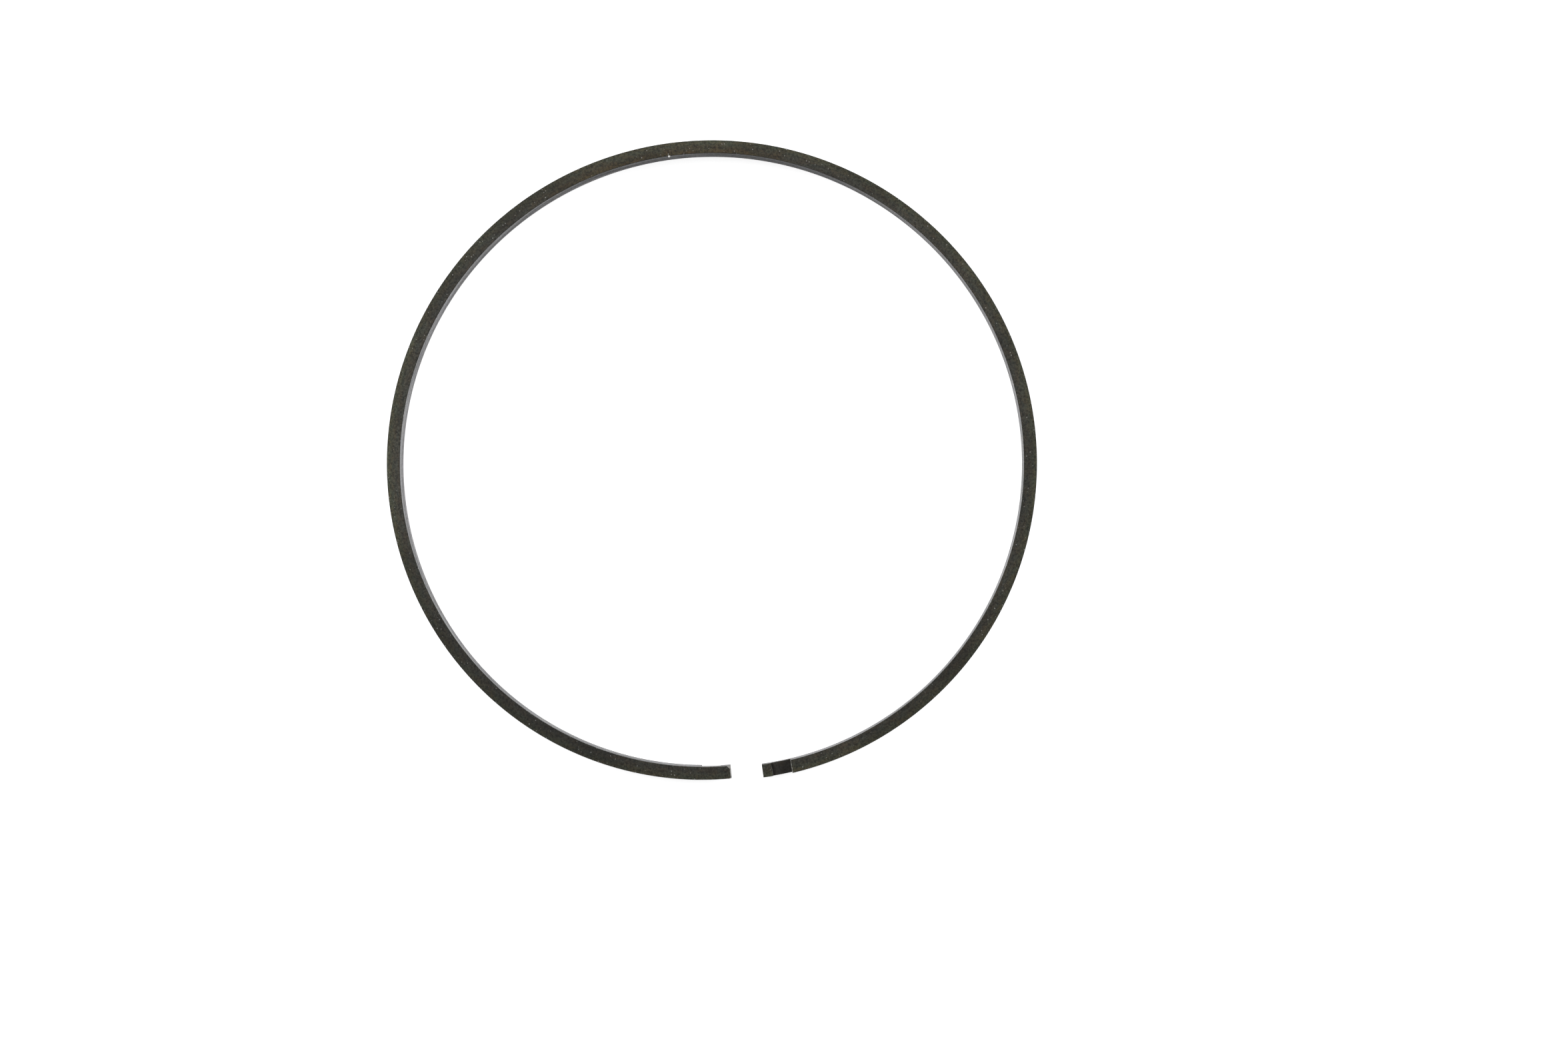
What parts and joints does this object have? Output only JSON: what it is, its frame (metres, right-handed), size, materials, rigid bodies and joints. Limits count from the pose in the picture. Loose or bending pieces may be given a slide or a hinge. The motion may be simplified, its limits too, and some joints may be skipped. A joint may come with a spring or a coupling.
{
  "type": "hook-joint piston ring",
  "caption": "Split metal piston ring with an interlocking hook joint, lying free and sprung open, that seals a piston in a round hydraulic bore.",
  "frame": {"origin": "middle of the free ring's outline, on its lower side face", "axes": "+Z square to the side faces, upwards; -Y towards the hook joint; +X to the end whose hook is milled from above"},
  "size_m": [0.0918, 0.0908, 0.0024],
  "materials": {
    "ring_iron": "dark phosphated iron: ground, mottled side faces, lighter turned walls, bright broken edges at the joint"
  },
  "bodies": {
    "root": {"piston_ring": "ring_iron"}
  },
  "joints": []
}
